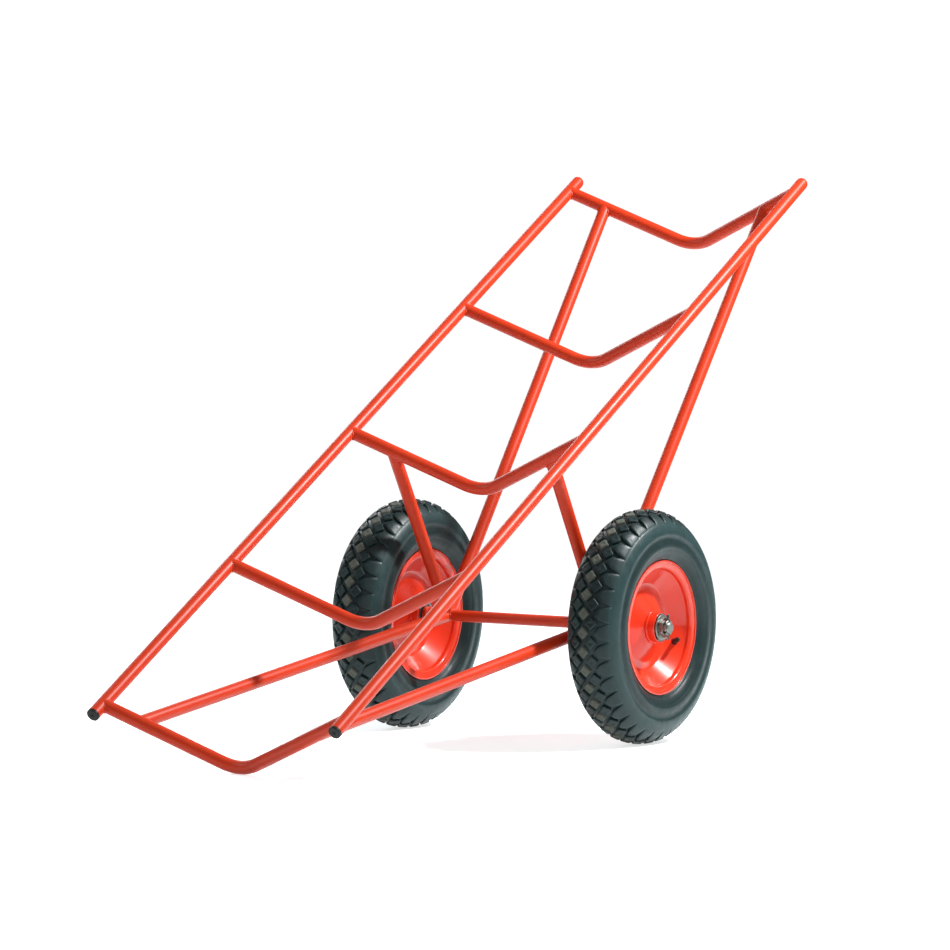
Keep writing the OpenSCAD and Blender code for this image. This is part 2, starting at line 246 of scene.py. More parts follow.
def paint(name, colour, shade, rough, shine, coat, coat_rough):
    """Enamel over steel under a clear coat: a faint orange peel, and uneven cover and gloss."""
    s = Shader(name)
    s.link(s.ramp(s.noise(9), (0.3, shade), (0.7, colour)), s.surface.inputs["Base Color"])
    s.link(s.spread(s.noise(30, 2), rough - 0.03, rough + 0.03), s.surface.inputs["Roughness"])
    s.set(Coat_Weight=coat, Coat_Roughness=coat_rough, Specular_IOR_Level=shine)
    s.bump((s.noise(420, 2), 0.02, 0.0003), (s.noise(38, 2), 0.02, 0.0006))
    return s.material


def tyre_rubber(name, dark, light, rough, shoulder=False):
    """Moulded rubber. With shoulder, a ring of the tyre's sides is painted paler than its tread: painted
    sheen, the overhead light's broad highlight on the shoulder drawn into the colour.
    """
    s = Shader(name)
    cloud = s.noise(26, 6, 0.65)
    colour = s.ramp(cloud, (0.32, dark), (0.68, light))
    if shoulder:
        # Painted sheen: this paler ring stands for the overhead light's highlight on the tyre's shoulder,
        # not for a paler rubber.
        painted_sheen = s.ramp(cloud, (0.32, [1.3 * c for c in light]), (0.68, [1.9 * c for c in light]))
        colour = s.mix(s.band(0.150, 0.166, 0.176, 0.187), colour, painted_sheen)
    s.link(colour, s.surface.inputs["Base Color"])
    s.link(s.spread(s.noise(90, 4), rough - 0.08, rough + 0.08), s.surface.inputs["Roughness"])
    s.set(Specular_IOR_Level=0.3)
    s.bump((s.noise(900, 3), 0.22, 0.0004), (s.noise(70, 3), 0.12, 0.0012))
    return s.material


def plated_steel(name, dark, light, rough):
    """Zinc plate or ground steel: metal with cloudy patches and fine scratches."""
    s = Shader(name)
    s.link(s.ramp(s.noise(120, 5, 0.7), (0.3, dark), (0.7, light)), s.surface.inputs["Base Color"])
    s.link(s.spread(s.noise(260, 4), rough - 0.08, rough + 0.1), s.surface.inputs["Roughness"])
    s.set(Metallic=1.0)
    s.bump((s.noise(1400, 2), 0.15, 0.0002), (s.noise(240, 3), 0.08, 0.0006))
    return s.material


def moulded_plastic(name, dark, light):
    """Black plastic with a fine grain and a dull shine."""
    s = Shader(name)
    s.link(s.ramp(s.noise(70, 4), (0.35, dark), (0.65, light)), s.surface.inputs["Base Color"])
    s.link(s.spread(s.noise(180, 4), 0.36, 0.52), s.surface.inputs["Roughness"])
    s.set(Specular_IOR_Level=0.2)
    s.bump((s.noise(1600, 2), 0.18, 0.0002), (s.noise(150, 2), 0.06, 0.0008))
    return s.material


def white_floor(name):
    """Studio paper that reads as plain white, yet throws little light up at the object."""
    s = Shader(name)
    diffuse_ray = s.node("ShaderNodeLightPath").outputs["Is Diffuse Ray"]
    white = s.ramp(s.noise(3), (0.3, (0.80, 0.92, 0.94)), (0.7, (0.82, 0.94, 0.96)))
    s.link(s.mix(diffuse_ray, white, (0.60, 0.60, 0.60)), s.surface.inputs["Base Color"])
    s.link(s.spread(diffuse_ray, 0.66, 0.12, 0, 1), s.surface.inputs["Emission Strength"])
    s.set(Roughness=0.9, Specular_IOR_Level=0.1)
    s.surface.inputs["Emission Color"].default_value = (1, 1, 1, 1)
    return s.material


RED = paint("frame_enamel", (0.70, 0.045, 0.008), (0.64, 0.038, 0.006), 0.40, 0.32, 0.04, 0.3)
RIM_RED = paint("rim_enamel", (0.84, 0.044, 0.012), (0.78, 0.038, 0.010), 0.30, 0.22, 0.5, 0.07)
# The shoulder ring of this rubber is painted sheen, a highlight drawn into its colour.
RUBBER = tyre_rubber("tyre_rubber", (0.006, 0.018, 0.019), (0.012, 0.030, 0.031), 0.42, shoulder=True)
DUSTY = tyre_rubber("dusty_tread", (0.075, 0.092, 0.076), (0.135, 0.155, 0.130), 0.75)
SOFT_RUBBER = tyre_rubber("soft_rubber", (0.016, 0.017, 0.018), (0.028, 0.030, 0.031), 0.5)
ZINC = plated_steel("zinc_plate", (0.15, 0.16, 0.15), (0.32, 0.34, 0.31), 0.46)
PIN_STEEL = plated_steel("pin_steel", (0.07, 0.075, 0.07), (0.13, 0.14, 0.13), 0.5)
GROUND_STEEL = plated_steel("ground_steel", (0.16, 0.16, 0.16), (0.26, 0.26, 0.27), 0.3)
CAGE_STEEL = plated_steel("cage_steel", (0.46, 0.36, 0.20), (0.62, 0.50, 0.30), 0.3)
PLASTIC = moulded_plastic("black_plastic", (0.012, 0.014, 0.014), (0.024, 0.027, 0.026))

# ---- Mesh building ----


def closed_mesh(name, points, faces):
    """A mesh whose faces all look outwards."""
    mesh = bpy.data.meshes.new(name)
    mesh.from_pydata([tuple(p) for p in points], [], faces)
    mesh.validate()
    shape = bmesh.new()
    shape.from_mesh(mesh)
    bmesh.ops.recalc_face_normals(shape, faces=shape.faces)
    shape.to_mesh(mesh)
    shape.free()
    return mesh


def make_piece(name, points, faces, material, body, nodes=(), sharp=40):
    """A closed mesh as a piece that rides on a body and stands for the named CAD nodes."""
    mesh = closed_mesh(name, points, faces)
    mesh.shade_smooth()
    mesh.set_sharp_from_angle(angle=radians(sharp))
    mesh.materials.append(material)
    piece = bpy.data.objects.new(name, mesh)
    bpy.context.scene.collection.objects.link(piece)
    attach(piece, body)
    if nodes:
        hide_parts(*nodes)
    return piece


def grid_faces(rows, columns, closed):
    """Quads between closed rows of points that are stored one after another."""
    faces = []
    for i in range(rows if closed else rows - 1):
        a, b = i * columns, (i + 1) % rows * columns
        for j in range(columns):
            k = (j + 1) % columns
            faces.append((a + j, a + k, b + k, b + j))
    return faces


def rings_mesh(rings, closed=False):
    """Points and faces of a skin over rings. An open skin gets a face at each end."""
    columns = len(rings[0])
    points = [p for ring in rings for p in ring]
    faces = grid_faces(len(rings), columns, closed)
    if not closed:
        last = len(points) - columns
        faces.append(tuple(reversed(range(columns))))
        faces.append(tuple(range(last, last + columns)))
    return points, faces


def joined(*parts):
    """Several (points, faces) put together in one mesh."""
    points, faces = [], []
    for more_points, more_faces in parts:
        start = len(points)
        points += more_points
        faces += [tuple(start + i for i in face) for face in more_faces]
    return points, faces


def spun(outline, steps):
    """A closed outline of (radius, x), turned about the X axis."""
    rings = []
    for i in range(steps):
        a = 2 * pi * i / steps
        rings.append([Vector((x, r * cos(a), r * sin(a))) for r, x in outline])
    return rings_mesh(rings, closed=True)


def capped_spin(outline, steps):
    """An outline of (radius, x) that starts and ends near the axis, turned about it."""
    rings = []
    for r, x in outline:
        rings.append([Vector((x, r * cos(2 * pi * i / steps), r * sin(2 * pi * i / steps)))
                      for i in range(steps)])
    return rings_mesh(rings)


def moved(part, place, axis=X_AXIS):
    """A part drawn about the X axis, put at a place and turned to an axis."""
    turn = X_AXIS.rotation_difference(axis).to_matrix()
    return [turn @ p + place for p in part[0]], part[1]


def wheel_part(part, side):
    """A part of the right wheel, or its mirror image on the left."""
    s = SIDES[side]
    points = [Vector((s * (p.x + wheel_centre.x), p.y + wheel_centre.y, p.z + wheel_centre.z))
              for p in part[0]]
    return points, part[1]


def fillet(a, b, c, r, steps=6):
    """The corner a-b-c of an outline as an arc of radius r."""
    a, b, c = Vector(a), Vector(b), Vector(c)
    u, v = (a - b).normalized(), (c - b).normalized()
    half = u.angle(v) / 2
    centre = b + (u + v).normalized() * r / sin(half)
    start, end = b + u * r / tan(half) - centre, b + v * r / tan(half) - centre
    sweep = start.angle_signed(end) if start.length and end.length else 0
    arc = []
    for i in range(steps + 1):
        turned = start.copy()
        turned.rotate(Matrix.Rotation(-sweep * i / steps, 2))
        arc.append(tuple(centre + turned))
    return arc


def rounded(outline, radii, steps=6):
    """An open outline with each inner corner rounded."""
    made = [tuple(outline[0])]
    for a, b, c, r in zip(outline, outline[1:], outline[2:], radii):
        made += fillet(a, b, c, r, steps)
    return made + [tuple(outline[-1])]


def frame_across(direction):
    """Two directions square to this one."""
    helper = Vector((0, 0, 1)) if abs(direction.z) < 0.9 else Vector((0, 1, 0))
    first = direction.cross(helper).normalized()
    return first, direction.cross(first).normalized()


def swept(path, radius, steps, closed=False):
    """A round bar along a path. The radius is a number or one for each point."""
    count = len(path)
    radii = [radius] * count if isinstance(radius, float) else radius
    runs = []
    for i in range(count):
        before = path[i - 1] if closed or i else path[0]
        after = path[(i + 1) % count] if closed or i < count - 1 else path[-1]
        runs.append((after - before).normalized())
    side = frame_across(runs[0])[0]
    sides = [side]
    for i in range(1, count):
        side = runs[i - 1].rotation_difference(runs[i]) @ sides[-1]
        sides.append((side - runs[i] * side.dot(runs[i])).normalized())
    twist = 0
    if closed:
        back = runs[-1].rotation_difference(runs[0]) @ sides[-1]
        back = (back - runs[0] * back.dot(runs[0])).normalized()
        twist = atan2(back.cross(sides[0]).dot(runs[0]), back.dot(sides[0]))
    rings = []
    for i, (p, run, side, r) in enumerate(zip(path, runs, sides, radii)):
        up = run.cross(side)
        turn = twist * i / count
        angles = [2 * pi * j / steps + turn for j in range(steps)]
        rings.append([p + r * (cos(a) * side + sin(a) * up) for a in angles])
    return rings_mesh(rings, closed)


# ---- Welded tube ----

Bar = namedtuple("Bar", "start end radius")
TUBE_STEPS = 64
WELD_STEPS = 96
embed = 0.5 * MM


def bar_axis(bar):
    return (bar.end - bar.start).normalized()


def meeting(point, direction, bar, radius):
    """Distance from the point, along the direction, to the near side of a round bar."""
    axis = bar_axis(bar)
    w = point - bar.start
    w -= axis * w.dot(axis)
    d = direction - axis * direction.dot(axis)
    b, c = w.dot(d), w.dot(w) - radius * radius
    return (-b - sqrt(max(b * b - d.dot(d) * c, 0))) / d.dot(d)


def coped_ring(bar, others, depth, steps=TUBE_STEPS):
    """The ring in which a bar's end meets the first of some others, sunk in by depth, as
    (point, way out of the bar)."""
    axis = bar_axis(bar)
    first, second = frame_across(axis)
    middle_point = (bar.start + bar.end) / 2
    ring = []
    for i in range(steps):
        a = 2 * pi * i / steps
        out = first * cos(a) + second * sin(a)
        line = middle_point + out * bar.radius
        reach = min(meeting(line, axis, o, o.radius - depth) for o in others)
        ring.append((line + axis * reach, out))
    return ring


def nearest_normal(point, bars):
    """The way out of the surface of the bar that a point lies on."""
    def out_of(bar):
        axis = bar_axis(bar)
        w = point - bar.start
        return w - axis * w.dot(axis)
    offsets = [(abs(out_of(b).length - b.radius), out_of(b).normalized()) for b in bars]
    return min(offsets, key=lambda pair: pair[0])[1]


def bead(ring, size, ripple, ripple_pitch):
    """A run of weld along a closed line of (point, way out, fullness)."""
    path = [p - out * size * (0.75 - 0.75 * full) for p, out, full in ring]
    length, radii = 0, []
    for a, b, (_, _, full) in zip(path, path[1:] + path[:1], ring):
        radii.append(size * (0.45 + 0.55 * full) * (1 + ripple * sin(2 * pi * length / ripple_pitch)))
        length += (b - a).length
    return swept(path, radii, steps=12, closed=True)


def weld_between(name, bar, others):
    """A run of weld round a bar's end. It thins out where the two surfaces run into one another."""
    size, ripple, ripple_pitch = 2.1 * MM, 0.07, 2.6 * MM
    ring = []
    for point, out in coped_ring(bar, others, 0, WELD_STEPS):
        other = nearest_normal(point, others)
        ring.append((point, (out + other).normalized(), min(1, 1.1 * (1 - out.dot(other)))))
    points, faces = bead(ring, size, ripple, ripple_pitch)
    make_piece(name, points, faces, RED, "frame", sharp=80)


def weld_round(place, radius, size, ripple=0.08):
    """A run of weld in a circle about the X axis."""
    steps = 160
    ripple_pitch = 3 * MM
    ring = []
    for i in range(steps):
        a = 2 * pi * i / steps
        out = Vector((0, cos(a), sin(a)))
        ring.append((Vector((place, 0, 0)) + out * radius, out, 1))
    return bead(ring, size, ripple, ripple_pitch)


# ---- Deck ----


def saddle_points(name):
    """Foot of the right arm's straight run and its head on the rail's centre line."""
    s = station(name)
    foot = deck_point(saddle_bend_r * sin(arm_angle), s, bend_centre_u - saddle_bend_r * cos(arm_angle))
    return foot, deck_point(rail_x, s, 0)


def across(v, side):
    return Vector((SIDES[side] * v.x, v.y, v.z))


def rail_bar(side):
    low, high = deck_range("right_rail", along_deck)
    x = SIDES[side] * rail_x
    return Bar(deck_point(x, low, 0), deck_point(x, high, 0), tube_r)


def arm_bar(name, side):
    foot, head = saddle_points(name)
    return Bar(across(foot, side), across(head, side), tube_r)


def tube_ring(centre, first, second):
    """A ring of points round a frame tube, in the plane of two directions."""
    angles = [2 * pi * j / TUBE_STEPS for j in range(TUBE_STEPS)]
    return [centre + tube_r * (cos(a) * first + sin(a) * second) for a in angles]


def build_rail(side):
    bar = rail_bar(side)
    first, second = frame_across(bar_axis(bar))
    rows = 60
    rings = [tube_ring(bar.start.lerp(bar.end, i / rows), first, second) for i in range(rows + 1)]
    points, faces = rings_mesh(rings)
    make_piece(f"{side}_rail_tube", points, faces, RED, "frame", [f"{side}_rail"])


def build_dome(side):
    """The closed end of a rail, a half ball that the tube runs into."""
    bar = rail_bar(side)
    overlap = 1.5 * MM
    outline = [(tube_r, -overlap)]
    outline += [(tube_r * cos(a), tube_r * sin(a)) for a in [radians(5 * i) for i in range(18)]]
    outline.append((0.3 * MM, tube_r * 0.9996))
    points, faces = moved(capped_spin(outline, TUBE_STEPS), bar.end, along_deck)
    make_piece(f"{side}_top_end", points, faces, RED, "frame", [f"{side}_top_dome"], 60)


def build_plug(side):
    """A plastic end plug: a rounded head with a moulded dimple, on a spigot in the tube."""
    bar = rail_bar(side)
    head, spigot = 5 * MM, 15 * MM
    head_r, spigot_r = tube_r - 0.1 * MM, tube_r - 2 * MM
    outline = [(CAP_HOLE, spigot), (spigot_r, spigot), (spigot_r, 0)]
    outline += rounded([(head_r, 0), (head_r, -head), (1 * MM, -head)], [2 * MM], 8)
    outline += rounded([(3 * MM, -head), (2 * MM, 0.6 * MM - head), (CAP_HOLE, 0.7 * MM - head)], [0.8 * MM])
    points, faces = moved(capped_spin(outline, TUBE_STEPS), bar.start, along_deck)
    make_piece(f"{side}_end_plug", points, faces, PLASTIC, "frame",
               [f"{side}_foot_plug"])


def build_saddle(name):
    """One bent tube: an arm to each rail and the bend between them."""
    left, right = arm_bar(name, "left"), arm_bar(name, "right")
    s = station(name)
    arm_rows, bend_rows = 12, 28
    path = [(left.end.lerp(left.start, i / arm_rows), bar_axis(left) * -1) for i in range(1, arm_rows)]
    for i in range(bend_rows + 1):
        a = arm_angle * (2 * i / bend_rows - 1)
        centre = deck_point(saddle_bend_r * sin(a), s, bend_centre_u - saddle_bend_r * cos(a))
        path.append((centre, X_AXIS * cos(a) + out_of_deck * sin(a)))
    path += [(right.start.lerp(right.end, i / arm_rows), bar_axis(right)) for i in range(1, arm_rows)]
    rings = [tube_ring(p, along_deck, run.cross(along_deck)) for p, run in path]
    rings.insert(0, cope_along(rings[0], bar_axis(left), rail_bar("left")))
    rings.append(cope_along(rings[-1], bar_axis(right), rail_bar("right")))
    points, faces = rings_mesh(rings)
    make_piece(f"{name}_tube", points, faces, RED, "frame", [name])
    for side in SIDES:
        weld_between(f"{name}_{side}_weld", arm_bar(name, side), [rail_bar(side)])


def cope_along(ring, direction, bar):
    """The ring pushed along a direction until it is just inside a bar."""
    return [p + direction * meeting(p, direction, bar, bar.radius - embed) for p in ring]


# ---- Undercarriage ----


def axle_bar():
    return Bar(Vector((-axle_end, wheel_centre.y, wheel_centre.z)),
               Vector((axle_end, wheel_centre.y, wheel_centre.z)), axle_r)


def strut_bar(kind, side):
    """A strut, from its foot on the axle up to its saddle."""
    x = strut_head_x[kind]
    s = station(strut_saddle[kind])
    head = deck_point(x, s, -(rail_x - x) * tan(arm_angle))
    foot = Vector((strut_foot_x, wheel_centre.y, wheel_centre.z))
    return Bar(across(foot, side), across(head, side), tube_r)


def build_strut(kind, side):
    """A tube coped to its saddle above, and below to the axle and to the middle strut."""
    bar = strut_bar(kind, side)
    upside_down = Bar(bar.end, bar.start, bar.radius)
    below = [axle_bar()]
    if kind != "middle":
        below.append(strut_bar("middle", side))
    above = [arm_bar(strut_saddle[kind], side)]
    top = [p for p, _ in coped_ring(bar, above, embed)]
    bottom = [p for p, _ in coped_ring(upside_down, below, embed)]
    bottom = matched(top, bottom, bar_axis(bar))
    rows = 16
    rings = [[a.lerp(b, i / rows) for a, b in zip(bottom, top)] for i in range(rows + 1)]
    points, faces = rings_mesh(rings)
    make_piece(f"{side}_{kind}_strut_tube", points, faces, RED, "frame",
               [f"{side}_{kind}_strut"])
    weld_between(f"{side}_{kind}_strut_top_weld", bar, above)
    weld_between(f"{side}_{kind}_strut_foot_weld", upside_down, below)


def matched(top, bottom, axis):
    """The bottom ring's points in the order of the top ring's, line by line."""
    def flat(p):
        return p - axis * p.dot(axis)
    return [min(bottom, key=lambda b: (flat(b) - flat(t)).length_squared) for t in top]


def build_axle():
    """The painted bar between the wheels, and bare threaded ends under the nuts."""
    painted_end = wheel_centre.x + race_face - 1 * MM
    rows = 20
    outline = [(CAP_HOLE, -painted_end), (axle_r, -painted_end)]
    outline += [(axle_r, i * painted_end / rows) for i in range(1 - rows, rows)]
    outline += [(axle_r, painted_end), (CAP_HOLE, painted_end)]
    points, faces = moved(capped_spin(outline, 64), Vector((0, wheel_centre.y, wheel_centre.z)))
    make_piece("axle_bar", points, faces, RED, "frame", ["axle"])
    for side in SIDES:
        points, faces = wheel_part(threaded_end(race_face - 2 * MM, axle_end - wheel_centre.x), side)
        make_piece(f"{side}_axle_thread", points, faces, ZINC, "frame", sharp=30)


def threaded_end(start, end):
    """A screw thread along the axle, with a chamfer at its end."""
    thread, depth, chamfer = 2.5 * MM, 1.1 * MM, 1.5 * MM
    steps = 48
    rows_per_turn = 10
    rows = int((end - start) / thread * rows_per_turn)
    rings = []
    for i in range(rows + 1):
        x = start + (end - start) * i / rows
        limit = axle_r - max(0, x - (end - chamfer))
        ring = []
        for j in range(steps):
            a = 2 * pi * j / steps
            phase = (x / thread - j / steps) % 1
            r = min(axle_r - 0.1 * MM - depth * abs(2 * phase - 1), limit)
            ring.append(Vector((x, r * cos(a), r * sin(a))))
        rings.append(ring)
    return rings_mesh(rings)


def build_collar(side):
    """The ring that the inboard bearing stands against, welded to the axle."""
    low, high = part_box("right_axle_collar")
    a, b = low.x - wheel_centre.x, high.x - wheel_centre.x
    r = extent("right_axle_collar").z / 2
    edge = 1 * MM
    outline = [(axle_r - embed, a), (r - edge, a), (r, a + edge), (r, b - edge), (r - edge, b),
               (axle_r - embed, b)]
    part = joined(spun(outline, 72), weld_round(a, axle_r + 1 * MM, 2 * MM))
    points, faces = wheel_part(part, side)
    make_piece(f"{side}_collar", points, faces, RED, "frame", [f"{side}_axle_collar"])


# ---- Nut, washer and pin ----


def build_washer(side):
    """A plain washer with broken edges."""
    r = extent("right_washer").z / 2
    hole = axle_r + 0.4 * MM
    edge = 0.6 * MM
    outline = [(hole, race_face + edge), (hole + edge, race_face)]
    outline += [(r - edge, race_face), (r, race_face + edge)]
    outline += fillet((r, race_face), (r, nut_seat), (0, nut_seat), edge * 1.6)
    outline += [(hole + edge, nut_seat), (hole, nut_seat - edge)]
    points, faces = wheel_part(spun(outline, 128), side)
    make_piece(f"{side}_plate_washer", points, faces, ZINC, "frame", [f"{side}_washer"])


def hexagon(angle):
    """Distance from the middle of a hexagon to its side, for flats one unit apart."""
    a = (angle + pi / 6) % (pi / 3) - pi / 6
    return 0.5 / cos(a)


def build_nut(side):
    """A castle nut: a chamfered hexagon below and a slotted crown above."""
    crown = 8.0 * MM
    nut_crown_r = 13.4 * MM
    chamfer = 2 * MM
    steps = 192
    corner = nut_flats / 2 / cos(pi / 6)
    heights = [0, 0.7 * MM, 1.4 * MM, 2.1 * MM, crown - 1.6 * MM, crown - 1.0 * MM, crown - 0.5 * MM, crown,
               crown + 0.2 * MM, nut_h - 1 * MM, nut_h - 0.3 * MM, nut_h]
    bore = axle_r - 0.2 * MM
    rings = []
    for j in range(steps):
        a = 2 * pi * j / steps
        ring = [Vector((nut_seat, bore * cos(a), bore * sin(a)))]
        for h in heights:
            r = hexagon(a) * nut_flats
            if h < chamfer:
                r = min(r, corner - (chamfer - h) * 0.9)
            if h > crown - chamfer:
                r = min(r, corner - (h - crown + chamfer) * 1.1)
            if h > crown:
                r = nut_crown_r - max(0, h - (nut_h - 1 * MM)) * 0.8
            ring.append(Vector((nut_seat + h, r * cos(a), r * sin(a))))
        ring.append(Vector((nut_seat + nut_h, (bore + 1 * MM) * cos(a), (bore + 1 * MM) * sin(a))))
        ring.append(Vector((nut_seat + nut_h - 1 * MM, bore * cos(a), bore * sin(a))))
        rings.append(ring)
    points, faces = wheel_part(rings_mesh(rings, closed=True), side)
    nut = make_piece(f"{side}_slotted_nut", points, faces, ZINC, "frame",
                     [f"{side}_castle_nut"], sharp=35)
    cut_slots(nut, side)


def cut_slots(nut, side):
    """Cuts the three pairs of slots for the split pin."""
    slot_w = 4.5 * MM
    half = Vector((nut_slot, slot_w / 2, nut_flats))
    centre = Vector((nut_seat + nut_h, 0, 0))
    corners = [Vector((x * half.x, y * half.y, z * half.z))
               for x in (-1, 1) for y in (-1, 1) for z in (-1, 1)]
    box_faces = [(0, 1, 3, 2), (4, 6, 7, 5), (0, 4, 5, 1), (2, 3, 7, 6), (0, 2, 6, 4), (1, 5, 7, 3)]
    for k in range(3):
        turn = Matrix.Rotation(k * pi / 3, 3, "X")
        points, faces = wheel_part(([turn @ c + centre for c in corners], box_faces), side)
        cutter = bpy.data.objects.new("slot", closed_mesh("slot", points, faces))
        bpy.context.scene.collection.objects.link(cutter)
        cut = nut.modifiers.new("slot", "BOOLEAN")
        cut.operation = "DIFFERENCE"
        cut.solver = "EXACT"
        cut.object = cutter
        bake(nut)
        bpy.data.objects.remove(cutter)
    nut.data.set_sharp_from_angle(angle=radians(35))


def bake(piece):
    """Applies a piece's modifiers to its mesh."""
    seen = piece.evaluated_get(bpy.context.evaluated_depsgraph_get())
    mesh = bpy.data.meshes.new_from_object(seen)
    piece.modifiers.clear()
    piece.data = mesh


def build_split_pin(side):
    """A wire folded into an eye above, with two legs that are bent apart below."""
    wire = 1.35 * MM
    top = nut_flats / 2 + 1.5 * MM
    eye = 2.7 * MM
    leg = [(6.2 * MM, -top - 2.6 * MM), (4.4 * MM, -top - 2.3 * MM), (2.4 * MM, -top - 1.2 * MM),
           (1.0 * MM, 0.4 * MM - top), (wire * 0.9, 3 * MM - top), (wire * 0.9, top - 2 * MM)]
    loop = []
    loop_steps = 14
    for i in range(loop_steps + 1):
        a = radians(-60 + 300 * i / loop_steps)
        loop.append(Vector((0, eye * cos(a), top + eye * 1.05 + eye * sin(a))))
    first_leg = [Vector((0, y, z)) for y, z in leg]
    second_leg = [Vector((0, -y, z)) for y, z in reversed(leg)]
    line = smooth_line(first_leg + loop + second_leg, 4)
    place = Vector((pin_place, 0, 0))
    points, faces = wheel_part(swept([p + place for p in line], wire, 14), side)
    make_piece(f"{side}_cotter", points, faces, PIN_STEEL, "frame", [f"{side}_split_pin"], 60)


def smooth_line(points, steps):
    """A smooth curve through the points."""
    ends = [points[0] * 2 - points[1]] + points + [points[-1] * 2 - points[-2]]
    line = []
    for a, b, c, d in zip(ends, ends[1:], ends[2:], ends[3:]):
        for i in range(steps):
            t = i / steps
            line.append(0.5 * (2 * b + (c - a) * t + (2 * a - 5 * b + 4 * c - d) * t * t
                               + (3 * b - a - 3 * c + d) * t ** 3))
    return line + [points[-1]]


# ---- Rim and hub ----


def moved_line(line, d):
    """The open line of (radius, x) moved sideways by d."""
    made = []
    for i in range(len(line)):
        a = Vector(line[max(i - 1, 0)])
        b = Vector(line[i])
        c = Vector(line[min(i + 1, len(line) - 1)])
        n = [Vector((-(q - p).y, (q - p).x)).normalized() for p, q in ((a, b), (b, c)) if (q - p).length]
        out = n[0] if len(n) == 1 else (n[0] + n[1]) / (1 + n[0].dot(n[1]))
        made.append(tuple(b + out * d))
    return made


def rim_face(d):
    """One face of the rim's sheet with its bends, at a distance from the sheet's middle."""
    bend_steps, cone_rows = 8, 16
    line = moved_line(rim_line, d)
    radii = []
    for i, r in enumerate(rim_bends):
        a, b, c = (Vector(p) for p in rim_line[i:i + 3])
        radii.append(r - d * (1 if (b - a).cross(c - b) > 0 else -1))
    face = rounded(line, radii, bend_steps)
    inner, outer = Vector(face[0]), Vector(face[1])
    return [tuple(inner.lerp(outer, i / cone_rows)) for i in range(cone_rows)] + face[1:]


def build_rim_half(side, half):
    """A pressed steel half of the rim, with a cone in its middle and a rolled edge."""
    points, faces = spun(rim_face(half_sheet) + rim_face(-half_sheet)[::-1], 180)
    if half == "inner":
        points = [Vector((-p.x, p.y, p.z)) for p in points]
    points, faces = wheel_part((points, faces), side)
    make_piece(f"{side}_{half}_rim_pressing", points, faces, RIM_RED, f"{side}_wheel",
               [f"{side}_{half}_rim_half"], 50)


def build_hub(side):
    """The hub tube with a chamfered mouth at each end, and its weld to each half of the rim."""
    waist = 20 * MM
    pocket_r = 23.5 * MM
    pocket = 15 * MM
    edge = 0.8 * MM
    half = [(waist, 0), (waist, hub_end - pocket), (pocket_r, hub_end - pocket),
            (pocket_r, hub_end - edge), (pocket_r + edge, hub_end), (hub_r - edge, hub_end),
            (hub_r, hub_end - edge), (hub_r, 0)]
    outline = half + [(r, -x) for r, x in half[-2:0:-1]]
    weld_x, weld_r, weld_size = cone_top + 1.6 * MM, hub_r + 0.4 * MM, 2.6 * MM
    part = joined(spun(outline, 128), weld_round(weld_x, weld_r, weld_size, ripple=0.04),
                  weld_round(-weld_x, weld_r, weld_size, ripple=0.04))
    points, faces = wheel_part(part, side)
    make_piece(f"{side}_hub_tube", points, faces, RIM_RED, f"{side}_wheel",
               [f"{side}_hub"], 50)


def build_seals(side):
    """Rubber seals with a rolled lip, one each side of both bearings."""
    race_centre = 29 * MM
    inner, outer = 15.2 * MM, 19.0 * MM
    parts = []
    for centre in (-race_centre, race_centre):
        for s in (-1, 1):
            face = centre + s * 6.5 * MM
            back = face - s * 0.9 * MM
            outline = [(inner, back), (inner, face - s * 0.3 * MM), (inner + 0.6 * MM, face),
                       (inner + 1.3 * MM, face - s * 0.35 * MM), (outer - 0.8 * MM, face - s * 0.2 * MM),
                       (outer, face), (outer, back)]
            parts.append(spun(outline, 72))
    points, faces = wheel_part(joined(*parts), side)
    make_piece(f"{side}_shields", points, faces, SOFT_RUBBER, f"{side}_wheel",
               [f"{side}_bearing_seals"])


# ---- Valve ----


def on_valve(part):
    """A part put on the valve's own axis, which leans outwards from the rim's wall."""
    axis = Vector((1, -1, 0)).normalized()
    turn = Matrix.Rotation(-valve_angle, 3, "X")
    points, faces = moved(part, valve_place, axis)
    return [turn @ p for p in points], faces


def build_valve(side):
    """A rubber stem with a bulged foot, and its dust cap."""
    base, neck = 4.7 * MM, 3.4 * MM
    stem = [(CAP_HOLE, -6 * MM), (base, -6 * MM), (base, 0), (base + 1.0 * MM, 0.9 * MM)]
    stem += [(base + 0.9 * MM, 1.7 * MM), (base, 2.6 * MM), (4.0 * MM, 8 * MM), (3.7 * MM, 14 * MM)]
    stem += [(neck, 14.2 * MM), (neck, 16 * MM), (CAP_HOLE, 16 * MM)]
    points, faces = wheel_part(on_valve(capped_spin(stem, 40)), side)
    make_piece(f"{side}_valve_rubber", points, faces, SOFT_RUBBER, f"{side}_wheel",
               [f"{side}_valve_stem"])
    points, faces = wheel_part(ribbed_cap(), side)
    make_piece(f"{side}_dust_cap", points, faces, PLASTIC, f"{side}_wheel",
               [f"{side}_valve_cap"], 30)


def ribbed_cap():
    """A screwed dust cap with grip ribs and a rounded top."""
    low, high, r = 14.5 * MM, 25.5 * MM, 4.1 * MM
    ribs, rib = 16, 0.25 * MM
    top = 3 * MM
    angles = [2 * pi * j / 96 for j in range(96)]
    rings = []
    for x, scale in ((low, 0.92), (low + 0.6 * MM, 1), (low + 7.4 * MM, 1), (low + 8 * MM, 0.9)):
        ring = []
        for a in angles:
            reach = r * scale - rib + (rib * cos(ribs * a) if scale == 1 else 0)
            ring.append(Vector((x, reach * cos(a), reach * sin(a))))
        rings.append(ring)
    for i in range(9):
        t = radians(10 * i)
        reach = max(r * 0.86 * cos(t), CAP_HOLE)
        x = high - top + top * sin(t)
        rings.append([Vector((x, reach * cos(a), reach * sin(a))) for a in angles])
    return on_valve(rings_mesh(rings))


# ---- Tyre ----


